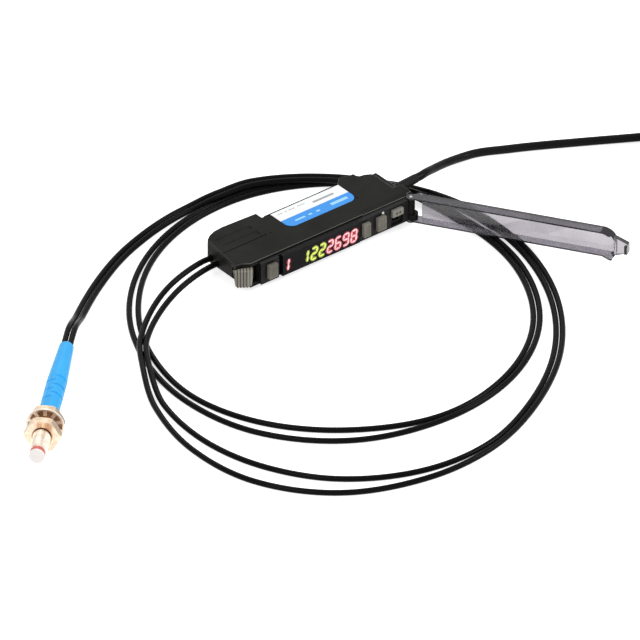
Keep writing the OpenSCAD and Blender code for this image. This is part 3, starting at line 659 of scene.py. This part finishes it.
class SENSOR_OT_buttons(bpy.types.Operator):
    """Dresses the three push buttons and the slide knob, with grip squares and marks."""

    bl_idname = "sensor.buttons"
    bl_label = "Buttons"

    def execute(self, context):
        # Moulded ABS in two warm greys: matt and faintly cloudy
        grey = moulded_plastic("moulded_grey_abs", "#67645c", "#86837a", rough=(0.5, 0.65))
        pale = moulded_plastic("moulded_pale_grey_abs", "#817f76", "#99978e", rough=(0.5, 0.65))
        for node in ("set_button", "mode_button", "adjust_button"):
            dressed(node, node + "_cap", grey, 0.22 * MM, body=node)
            self.grip(node, grey)
        dressed("slide_switch", "slide_knob", pale, 0.25 * MM, body="slide_switch")
        self.knob_marks()
        return {"FINISHED"}

    def stand_up(self, bm, verts, node, proud):
        """Turns a flat shape to face the front and puts it on the middle of a node's face."""
        low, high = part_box(node)
        bmesh.ops.rotate(bm, cent=(0, 0, 0), matrix=Matrix.Rotation(math.radians(90), 3, "X"),
                         verts=verts)
        bmesh.ops.translate(bm, verts=verts, vec=((low.x + high.x) / 2, low.y - proud,
                                                  (low.z + high.z) / 2))

    def knob_marks(self):
        """Two oval marks side by side on the face of the slide knob."""
        # Moulded ABS, darker and smoother than the knob
        dark = moulded_plastic("moulded_dark_marks", "#3a3a36", "#44443f", depth_mm=0.005)
        radius, wide, tall, off_middle = 0.5 * MM, 0.8, 1.1, 0.75 * MM
        bm = bmesh.new()
        for side in (-1, 1):
            made = bmesh.ops.create_circle(bm, cap_ends=True, segments=16, radius=radius)["verts"]
            bmesh.ops.scale(bm, vec=(wide, tall, 1), verts=made)
            bmesh.ops.translate(bm, vec=(side * off_middle, 0, 0), verts=made)
        self.stand_up(bm, bm.verts, "slide_switch", 0.01 * MM)
        finish_piece(bm, "knob_marks", dark, "slide_switch")

    def grip(self, node, material):
        """Field of small raised squares on the face of one button."""
        low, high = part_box(node)
        plain_across, plain_up = 1.9 * MM, 2.0 * MM
        wide, tall = high.x - low.x - plain_across, high.z - low.z - plain_up
        bm = bmesh.new()
        bmesh.ops.create_grid(bm, x_segments=4, y_segments=6, size=0.5)
        bmesh.ops.scale(bm, vec=(wide, tall, 1), verts=bm.verts)
        self.stand_up(bm, bm.verts, node, 0.005 * MM)
        bmesh.ops.inset_individual(bm, faces=bm.faces[:], thickness=0.1 * MM,
                                   depth=0.12 * MM, use_even_offset=True)
        finish_piece(bm, node + "_grip", material, node, smooth_deg=20)


class SENSOR_OT_dust_cover(bpy.types.Operator):
    """Dresses the clear dust cover, its pin and the lever's."""

    bl_idname = "sensor.dust_cover"
    bl_label = "Dust cover"

    def execute(self, context):
        # Smoke tinted polycarbonate: clear, with a grey violet tint and fine handling marks
        clear, tree, shader = new_material("smoke_tinted_polycarbonate", IOR=1.585,
                                           Transmission_Weight=1.0)
        tint(tree, shader, pattern(tree, 12), "#9d999f", "#a8a4aa")
        texture(tree, shader, pattern(tree, 0.8, detail=3, stretch=(0.2, 1, 1)), (0.05, 0.16))
        texture(tree, shader, pattern(tree, 5, detail=1), depth_mm=0.01)
        # The cut and rounded edges of clear plastic look dark, as no light comes out there
        rim, tree, shader = new_material("polycarbonate_edge", IOR=1.585,
                                         Specular_IOR_Level=0.2)
        tint(tree, shader, pattern(tree, 12), "#1c1a1e", "#28262a")
        texture(tree, shader, pattern(tree, 0.8), (0.12, 0.22))
        # The long walls are seen through more plastic than the face, and look darker
        wall, tree, shader = new_material("smoked_polycarbonate_wall", IOR=1.585,
                                          Transmission_Weight=0.92)
        cloud = pattern(tree, 12)
        tint(tree, shader, cloud, "#716d76", "#7d7982")
        texture(tree, shader, cloud, (0.03, 0.06))
        finishes = [clear, rim, wall]
        rim_width, upright = 1.25 * MM, 0.9
        bm = merged_copy("dust_cover")
        for face in bm.faces:
            if breadth(face) < rim_width:
                face.material_index = finishes.index(rim)
            elif abs(face.normal.z) > upright:
                face.material_index = finishes.index(wall)
        cover = finish_piece(bm, "clear_cover", finishes, "dust_cover",
                             ["dust_cover"])
        soften(cover, 0.3 * MM)
        cover.modifiers["soft_edges"].material = finishes.index(rim)
        # Drawn steel: bright grey with fine lines
        steel = turned_metal("drawn_steel_pin", "#b9bbbd", "#8f9193")
        for node in ("hinge_pin", "lever_pin"):
            dressed(node, node + "_steel", steel, 0.08 * MM)
        return {"FINISHED"}


class SENSOR_OT_lock_lever(bpy.types.Operator):
    """Dresses the lever that locks the fibres."""

    bl_idname = "sensor.lock_lever"
    bl_label = "Lock lever"

    def execute(self, context):
        # Moulded grey ABS with painted shade in the grooves between the grip ribs, so its grey
        # goes dark and light across
        grey, tree, shader = new_material("moulded_lever_grey_abs", IOR=1.53,
                                          Specular_IOR_Level=0.2)
        across_ribs, rib_pitch = Vector((4.7, -3.3, 0)).normalized(), 1.149 * MM
        place = add(tree, "ShaderNodeTexCoord")
        ribs = add(tree, "ShaderNodeVectorMath",
                   {0: place.outputs["Object"], 1: across_ribs / rib_pitch},
                   operation="DOT_PRODUCT")
        # 0 in each groove and 0.5 on each rib
        height = add(tree, "ShaderNodeMath", {0: ribs.outputs["Value"], 1: 0.5},
                     operation="PINGPONG")
        tint(tree, shader, height.outputs["Value"], "#3e3b34", "#98948a", spread=(0.08, 0.24))
        texture(tree, shader, pattern(tree, 0.25, detail=1), (0.45, 0.6), 0.02)
        dressed("lock_lever", "fibre_lever", grey, 0.1 * MM, body="lock_lever")
        return {"FINISHED"}


class SENSOR_OT_fibres(bpy.types.Operator):
    """Lays the two fibres from the ports to the sensing head."""

    bl_idname = "sensor.fibres"
    bl_label = "Fibres"

    def execute(self, context):
        # Extruded polyethylene: deep black
        jacket = rounded_jacket("black_polyethylene_jacket", "#0a0a0a", "#101010")
        radius = sizes().fibre_diameter / 2
        for name, side in (("fibre_a", 1), ("fibre_b", -1)):
            points = strand(PAIR_ROUTE_MM, side)
            piece = smooth_line(name + "_line", points, radius, jacket)
            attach(piece, "housing")
            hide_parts(name)
        return {"FINISHED"}


class SENSOR_OT_cable(bpy.types.Operator):
    """Lays the signal cable, its coil, the tie, the boot and the stripped wires."""

    bl_idname = "sensor.cable"
    bl_label = "Cable"

    def execute(self, context):
        radius = sizes().cable_diameter / 2
        # Extruded PVC: a slightly greyer black than the fibres
        jacket = rounded_jacket("black_pvc_jacket", "#121212", "#1a1a1a")
        points = [*CABLE_ROUTE_MM, *coil_points(), *TAIL_ROUTE_MM]
        cable = smooth_line("signal_cable", points, radius, jacket)
        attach(cable, "housing")
        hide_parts("power_cable", "cable_coil", "cable_tail")
        # Moulded soft PVC: matt dark grey
        boot = moulded_plastic("moulded_soft_pvc", "#1d1d1d", "#262626", rough=(0.4, 0.55))
        dressed("cable_boot", "boot", boot, 0.1 * MM)
        # Moulded nylon: black, a little glossier
        tie = moulded_plastic("moulded_nylon_tie", "#161616", "#1f1f1f", rough=(0.3, 0.45))
        ends = [dressed("coil_tie", "tie", tie, 0.12 * MM)]
        # Extruded PVC of the three wires, each in one plain colour
        for node, colour, lighter in (("wire_brown", "#5d3219", "#6f3d20"),
                                      ("wire_black", "#171717", "#202020"),
                                      ("wire_blue", "#1f4d9c", "#2a5cb0")):
            coating = rounded_jacket(node + "_pvc", colour, lighter)
            ends.append(dressed(node, node + "_core", coating, 0.06 * MM))
        # Bare drawn copper: warm and bright
        copper = turned_metal("bare_copper_strands", "#c98a5b", "#a86c42")
        ends.append(dressed("wire_tips", "copper_tips", copper, 0.05 * MM))
        return {"FINISHED"}


class SENSOR_OT_head(bpy.types.Operator):
    """Builds the sensing head: sleeve, threaded barrel, nuts, washer, ring and tip."""

    bl_idname = "sensor.head"
    bl_label = "Sensing head"

    def execute(self, context):
        # Moulded soft PVC: bright blue, matt and faintly cloudy
        sleeve, tree, shader = new_material("moulded_soft_blue_pvc", IOR=1.5,
                                            Specular_IOR_Level=0.3)
        base = colours().sleeve[:]
        brighter = tuple(min(1, c * 1.12) for c in base[:3]) + (1,)
        tint(tree, shader, pattern(tree, 6), base, brighter)
        texture(tree, shader, pattern(tree, 0.3), (0.38, 0.5), 0.01)
        # Nickel plate on brass: warm and bright
        nickel = turned_metal("nickel_plated_brass", "#f4dfcc", "#dcbb9f", rough=(0.2, 0.34))
        # The flats of the nuts are drawn bar, duller than the turned faces
        flats = turned_metal("drawn_nickel_flats", "#c6b49e", "#a5917a", rough=(0.3, 0.45))
        # Painted shade in the crevice under the washer: a darker, duller nickel
        dull = turned_metal("painted_shade_nickel_plate", "#a78a70", "#7c5f48", rough=(0.35, 0.5))
        # Stamped spring steel: pale and even
        bright = turned_metal("bright_spring_steel", "#f6ebe0", "#e2d3c4", rough=(0.3, 0.45))
        # Plated barrel: the palest metal, with the cleanest gloss
        brass = turned_metal("pale_plated_barrel", "#f8eee2", "#dcc8b2")
        # Red paint round the neck: even, with a soft gloss
        red, tree, shader = new_material("red_paint_ring", IOR=1.5)
        tint(tree, shader, pattern(tree, 0.8), "#d0584a", "#dd6c5e", spread=(0, 1))
        texture(tree, shader, pattern(tree, 0.3), (0.3, 0.42))
        # Polished face round the fibres' ends: nearly white and glossy
        pale, tree, shader = new_material("polished_fibre_face", IOR=1.49)
        tint(tree, shader, pattern(tree, 0.8), "#faf2ee", "#fffaf7", spread=(0, 1))
        texture(tree, shader, pattern(tree, 0.3), (0.12, 0.25))
        made = [self.make_sleeve(sleeve), self.make_barrel(brass),
                self.make_front_nut([nickel, flats]), self.make_rear_nut([nickel, flats, dull]),
                dressed("lock_washer", "tooth_washer", bright, 0.1 * MM),
                dressed("marker_ring", "red_ring", red, 0.05 * MM),
                dressed("fibre_tip", "sensing_face", pale, 0.1 * MM)]
        for piece in made:
            piece["on_head"] = 1
        return {"FINISHED"}

    def make_sleeve(self, material):
        """Sleeve whose flex slots run part of the way round, each a quarter turn on."""
        # Distances along the head's axis and radii in millimetres
        first, last, pitch, plain_radius = 22.6, 46.5, 2.75, 3.7
        lead, shallow = 0.5, 0.2
        first_turn_deg, slope, openness = 40, 2.2, 0.9
        bm = merged_copy("head_sleeve")
        bmesh.ops.transform(bm, matrix=head_matrix().inverted(), verts=bm.verts)
        for v in bm.verts:
            along, radius = v.co.x / MM, math.hypot(v.co.y, v.co.z) / MM
            if first + lead < along < last and radius < plain_radius - shallow:
                turn = first_turn_deg - 90 * (int((along - first) / pitch) % 2)
                off = math.atan2(v.co.y, v.co.z) - math.radians(turn)
                open_share = max(0.0, min(1.0, slope * math.cos(2 * off) + openness))
                wanted = plain_radius - (plain_radius - radius) * open_share
                v.co.y *= wanted / radius
                v.co.z *= wanted / radius
        bmesh.ops.transform(bm, matrix=head_matrix(), verts=bm.verts)
        return finish_piece(bm, "flex_sleeve", material, "housing",
                            ["head_sleeve"], smooth_deg=50)

    def finish_nut(self, piece, flats, front):
        """Sets which finish, by number, a nut's flats and its face towards the tip have."""
        towards, sideways, forwards = Vector(HEAD_TOWARDS_MM).normalized(), 0.3, 0.9
        for face in piece.data.polygons:
            along = face.normal.dot(towards)
            if abs(along) < sideways:
                face.material_index = flats
            elif along > forwards:
                face.material_index = front

    def make_rear_nut(self, finishes):
        """Rear nut, with painted shade on the face that the washer covers."""
        piece = dressed("rear_nut", "nut_rear", finishes, 0.25 * MM)
        self.finish_nut(piece, flats=1, front=2)
        piece.modifiers["soft_edges"].material = 0
        return piece

    def make_front_nut(self, finishes):
        """Front nut with the chamfer at its threaded hole."""
        chamfer, hole_radius, slack = 0.8 * MM, 3.2 * MM, 0.05 * MM
        bm = merged_copy("front_nut")
        back = head_matrix().inverted()
        places = {v: back @ v.co for v in bm.verts}
        front = max(place.x for place in places.values())
        at_hole = {v for v, place in places.items()
                   if place.x > front - slack and math.hypot(place.y, place.z) < hole_radius}
        rim = [e for e in bm.edges if at_hole.issuperset(e.verts)]
        bmesh.ops.bevel(bm, geom=rim, offset=chamfer, segments=1, profile=0.5, affect="EDGES",
                        material=-1, clamp_overlap=False)
        piece = finish_piece(bm, "nut_front", finishes, "housing", ["front_nut"])
        self.finish_nut(piece, flats=1, front=0)
        return soften(piece, 0.12 * MM)

    def make_barrel(self, material):
        """Barrel with a real screw thread in front of the nuts and the neck for the ring."""
        # Distances along the head's axis and radii in millimetres
        rear, shoulder, neck, front = 47, 69.0, 69.22, 71.02
        core, crest, neck_radius = 2.85, 3.25, 2.4
        thread_start, thread_end, pitch = 58.7, 69.1, sizes().thread_pitch / MM
        root = core - 0.1
        crest_start, crest_end, foot = 0.36 * pitch, 0.52 * pitch, 0.88 * pitch
        bm = bmesh.new()
        outline = [(rear, 0), (rear, core), (shoulder, core), (neck, neck_radius),
                   (front, neck_radius), (front, 0)]
        bmesh.ops.spin(bm, geom=self.profile(bm, outline), cent=(0, 0, 0), axis=(1, 0, 0),
                       angle=2 * math.pi, steps=48, use_merge=True)
        bmesh.ops.remove_doubles(bm, verts=bm.verts, dist=1e-4)
        ridge = [(0, root), (crest_start, crest), (crest_end, crest), (foot, root)]
        steps, turns = 40, int((thread_end - thread_start) / pitch)
        line = self.profile(bm, [(thread_start + x, r) for x, r in ridge])
        bmesh.ops.spin(bm, geom=line, cent=(0, 0, 0), axis=(1, 0, 0),
                       dvec=(pitch / steps, 0, 0), angle=2 * math.pi * turns,
                       steps=steps * turns, use_merge=False)
        bmesh.ops.scale(bm, vec=(MM, MM, MM), verts=bm.verts)
        bmesh.ops.transform(bm, matrix=head_matrix(), verts=bm.verts)
        bmesh.ops.recalc_face_normals(bm, faces=bm.faces)
        return finish_piece(bm, "threaded_barrel", material, "housing",
                            ["head_barrel"], smooth_deg=40)

    def profile(self, bm, points):
        """Open line through points of (distance along, radius), to be spun round the X axis."""
        row = [bm.verts.new((x, 0, r)) for x, r in points]
        return row + [bm.edges.new(pair) for pair in zip(row, row[1:])]


class SENSOR_OT_inner(bpy.types.Operator):
    """Gives the pieces inside the housing their finishes."""

    bl_idname = "sensor.inner"
    bl_label = "Inner pieces"

    def execute(self, context):
        # Solder mask over copper: green and faintly cloudy
        board, tree, shader = new_material("green_solder_mask", Roughness=0.35, IOR=1.5)
        tint(tree, shader, pattern(tree, 1.2), "#174a2e", "#226341")
        # Moulded PBT: an even dark grey
        dark = moulded_plastic("moulded_black_pbt", "#202020", "#2a2a2a")
        # Stamped sheet steel: bright, with faint clouds
        steel, tree, shader = new_material("stamped_steel", Metallic=1.0)
        tint(tree, shader, pattern(tree, 2), "#9c9ea0", "#b4b6b8", spread=(0, 1))
        texture(tree, shader, pattern(tree, 0.5), (0.25, 0.4))
        # Cast epoxy: pale and smooth
        clear = moulded_plastic("clear_epoxy_lens", "#cfc9bb", "#dcd7ca", rough=(0.1, 0.2))
        for nodes, material in ((("main_board", "display_board"), board),
                                (("tact_switches", "port_block", "digit_display",
                                  "receiver_diode"), dark),
                                (("fibre_clamp",), steel), (("emitter_led",), clear)):
            for node in nodes:
                coat(node, material)
        return {"FINISHED"}


STEPS = (SENSOR_OT_stage, SENSOR_OT_housing, SENSOR_OT_front, SENSOR_OT_buttons,
         SENSOR_OT_dust_cover, SENSOR_OT_lock_lever, SENSOR_OT_head, SENSOR_OT_fibres,
         SENSOR_OT_cable, SENSOR_OT_inner)


class SENSOR_PT_panel(bpy.types.Panel):
    """Lists the sizes, the colours and the steps in the sidebar."""

    bl_label = "Fibre optic sensor"
    bl_idname = "SENSOR_PT_panel"
    bl_space_type = "VIEW_3D"
    bl_region_type = "UI"
    bl_category = "Sensor"

    def draw(self, context):
        for group in (context.scene.sensor_sizes, context.scene.sensor_colours):
            for name in group.__annotations__:
                self.layout.prop(group, name)
        for step in STEPS:
            self.layout.operator(step.bl_idname)


CLASSES = (SensorSizes, SensorColours, *STEPS, SENSOR_PT_panel)


def register():
    """Adds the sizes, the colours, the steps and the panel."""
    for one in CLASSES:
        bpy.utils.register_class(one)
    bpy.types.Scene.sensor_sizes = PointerProperty(type=SensorSizes)
    bpy.types.Scene.sensor_colours = PointerProperty(type=SensorColours)


def unregister():
    """Takes away what register added."""
    del bpy.types.Scene.sensor_sizes
    del bpy.types.Scene.sensor_colours
    for one in reversed(CLASSES):
        bpy.utils.unregister_class(one)


def main():
    """Runs every step in order."""
    register()
    for step in STEPS:
        group, name = step.bl_idname.split(".")
        getattr(getattr(bpy.ops, group), name)()


if __name__ == "__main__":
    main()
